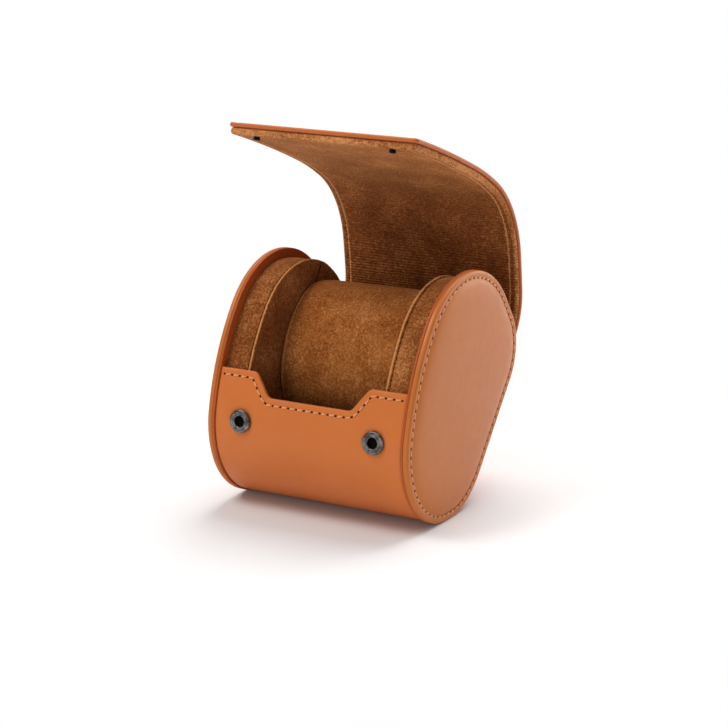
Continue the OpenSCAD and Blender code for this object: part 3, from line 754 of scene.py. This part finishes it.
# the thin lining over the first folds, and the padded suede: half width, depth or rounding, corner
THIN_START, THIN_HALF, THIN_T = 4.0, 43.2, 2.4
PAD_HALF, PAD_ROUND, PAD_CORNER = 43.6, 1.3, 1.6
for k, cut in enumerate(CUTS):
    a, b = ("case" if k == 0 else f"lid_{k}"), f"lid_{k + 1}"
    s0, s1 = SEAMS[k], SEAMS[k + 1]
    before, after = ([float(q) for q in place(0, *lid_point(cut + e, np.float64(0), LEATHER)[1:])]
                     for e in BENDS[min(k, 2)])
    v, f, uv = lid_part(s0, s1, LID_W / 2, 0.0, LEATHER, 0.7, LID_END, TIP_R, 0.13)
    # the lid's leather skins take the tan painted darker as painted shade
    skins = [make(f"lid_leather_skin_{k + 1}", v, f, SHADED_LID_TAN, None,
                  [f"lid_leather_{k + 1}"], uv=uv)]
    if k < 2:
        v, f, uv = lid_part(max(s0, THIN_START), min(s1, PADDED), THIN_HALF, LEATHER, THIN_T, 0.25,
                            LID_END, TIP_R, 0)
        skins.append(make(f"lid_suede_thin_{k + 1}", v, f, LID_SUEDE, None, (), uv=uv))
    if k > 0:
        v, f, uv = lid_part(max(s0, PADDED), min(s1, LINING_END), PAD_HALF, LEATHER, LID_T, PAD_ROUND,
                            LINING_END, PAD_CORNER, 0)
        skins.append(make(f"lid_suede_{k + 1}", v, f, LID_SUEDE, None,
                          [f"lid_padding_{k + 1}", f"lid_lining_{k + 1}"], uv=uv))
    for ob in skins:
        ob.data.set_sharp_from_angle(angle=math.radians(60))
        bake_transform(ob)

# ---------------------------------------------------------------- snaps


def lathe(profile, origin, axis, n=64):
    """Turned piece: profile of (radius, height) about an axis in the u, v plane. A bored one is a loop."""
    ax = np.array([0, axis[0], axis[1]], float)
    side = np.array([1.0, 0, 0])
    other = np.cross(ax, side)
    t = np.linspace(0, 2 * math.pi, n, endpoint=False)[:, None]
    rings = [np.asarray(origin) + ax * h + r * (np.cos(t) * side + np.sin(t) * other) for r, h in profile]
    bored = profile[0][0] > 0.5
    v, f = loft(rings + rings[:1] if bored else rings, caps=(not bored, not bored), flip=True)
    return place(v[:, 0], v[:, 1], v[:, 2]), f


def lathes(name, profile, places, mat, body, nodes):
    V, F, off = [], [], 0
    for origin, axis in places:
        v, f = lathe(profile, origin, axis)
        V.append(v)
        F += [tuple(i + off for i in q) for q in f]
        off += len(v)
    return make(name, np.vstack(V), F, mat, body, nodes)


# profiles of the snaps as (radius, height)
RING = [(2.3, -0.3), (4.6, -0.3), (4.95, -0.05), (5.0, 0.35), (4.93, 0.7), (4.75, 0.98), (4.45, 1.16),
        (4.1, 1.24), (3.75, 1.22), (3.5, 1.12), (3.35, 1.0), (3.2, 1.12), (3.0, 1.24), (2.75, 1.26),
        (2.5, 1.18), (2.36, 1.0), (2.3, 0.7)]
BARREL = [(0.02, -2.0), (4.1, -2.0), (4.1, -1.6), (2.6, -1.6), (2.6, 0.3), (2.27, 0.9), (2.1, 0.95),
          (1.95, 0.7), (1.9, 0.0), (0.02, -0.02)]
STUD = [(0.02, 1.95), (2.2, 1.95), (2.2, 2.35), (1.0, 2.4), (1.0, 4.6), (1.35, 4.8), (1.45, 5.0), (1.25, 5.3),
        (1.35, 5.6), (1.5, 5.85), (1.48, 6.1), (1.2, 6.3), (0.7, 6.38), (0.02, 6.4)]
outward = np.array([math.cos(SOCKET), math.sin(SOCKET)])
sockets = [(np.array([x, *(outward * (LOBE - RECESS))]), outward) for x in (-SNAP_X, SNAP_X)]
lathes("snap_ring", RING, sockets, GUN, "case", ["socket_rings"])
# the barrels carry the near black of painted shade
lathes("snap_barrel", BARREL, sockets, SHADE_BLACK, "case", ["socket_barrels"])
p, a = lid_at(STUD_S)
inward = np.array([-math.sin(a), math.cos(a)])
studs = [(np.array([x, *p]), inward) for x in (-SNAP_X, SNAP_X)]
# the studs carry the near-black metal of painted shade
lathes("snap_studs", STUD, studs, STUD_SHADE, "lid_7", ["stud_posts", "stud_backs"])

# ---------------------------------------------------------------- stage, light, camera
def floor_mat():
    """Pale floor that turns into the white of the backdrop away from the case."""
    m = Mat("floor_white")
    m.link(m.ramp(m.noise(3, 2), [(0.3, (0.83, 0.83, 0.83, 1)), (0.7, (0.84, 0.84, 0.84, 1))]),
           m.b.inputs["Base Color"])
    m.b.inputs["Roughness"].default_value = 0.9
    m.b.inputs["Specular IOR Level"].default_value = 0.1
    far = m.add("ShaderNodeVectorMath", operation="LENGTH")
    m.link(m.co.outputs["Object"], far.inputs[0])
    glow = m.add("ShaderNodeEmission")
    path, mix = m.add("ShaderNodeLightPath"), m.add("ShaderNodeMixShader")
    away = m.math("SUBTRACT", 1.0, m.fade(far.outputs["Value"], 0.25, 0.11))
    m.link(m.math("MULTIPLY", away, path.outputs["Is Camera Ray"]), mix.inputs[0])
    m.link(m.b.outputs[0], mix.inputs[1])
    m.link(glow.outputs[0], mix.inputs[2])
    m.link(mix.outputs[0], m.t.nodes["Material Output"].inputs["Surface"])
    return m.m


FLOOR = 3.0
floor = make("floor", [(-FLOOR, -FLOOR, 0), (FLOOR, -FLOOR, 0), (FLOOR, FLOOR, 0), (-FLOOR, FLOOR, 0)],
             [(0, 1, 2, 3)], floor_mat(), smooth=False)

world = bpy.data.worlds.new("studio")
bpy.context.scene.world = world
world.use_nodes = True
wt = world.node_tree
bg = wt.nodes["Background"]
bg.inputs["Color"].default_value = (0.9, 0.9, 0.9, 1)
bg.inputs["Strength"].default_value = 0.38
white = wt.nodes.new("ShaderNodeBackground")
white.inputs["Color"].default_value = (1, 1, 1, 1)
white.inputs["Strength"].default_value = 1.0
mix = wt.nodes.new("ShaderNodeMixShader")
path = wt.nodes.new("ShaderNodeLightPath")
wt.links.new(path.outputs["Is Camera Ray"], mix.inputs[0])
wt.links.new(bg.outputs[0], mix.inputs[1])
wt.links.new(white.outputs[0], mix.inputs[2])
wt.links.new(mix.outputs[0], wt.nodes["World Output"].inputs["Surface"])


def area(name, at, look, size, power):
    d = bpy.data.lights.new(name, "AREA")
    d.shape, d.size, d.size_y = "RECTANGLE", size[0], size[1]
    d.energy = power
    o = bpy.data.objects.new(name, d)
    bpy.context.collection.objects.link(o)
    o.location = at
    o.rotation_euler = (Vector(look) - Vector(at)).to_track_quat("-Z", "Y").to_euler()


area("key", (-0.42, -0.42, 0.88), (-0.02, 0, 0.08), (0.45, 0.45), 4.8)
area("over", (0.0, 0.50, 1.25), (0, 0, 0.06), (1.0, 0.8), 17)
area("sweep", (0.60, 1.1, 0.32), (0, 0, 0.07), (0.8, 0.5), 4.6)
area("front", (0.1, -1.3, 0.32), (0, 0, 0.11), (1.2, 0.5), 2.6)

AZ, EL, DIST = math.radians(29.8), math.radians(14.8), 0.9468
target = Vector((0, SHIFT_Y / 1000 + 0.0124345, STAND / 1000 + 0.0220728))
back = Vector((math.sin(AZ) * math.cos(EL), -math.cos(AZ) * math.cos(EL), math.sin(EL)))
cam = bpy.data.cameras.new("camera")
cam.lens, cam.sensor_width = 2222 * 36 / 728, 36
cam.clip_start, cam.clip_end = 0.01, 20
eye = bpy.data.objects.new("camera", cam)
bpy.context.collection.objects.link(eye)
eye.location = target + back * DIST
eye.rotation_euler = (-back).to_track_quat("-Z", "Y").to_euler()
bpy.context.scene.camera = eye
bpy.context.scene.view_settings.view_transform = "Standard"
bpy.context.scene.view_settings.look = "None"
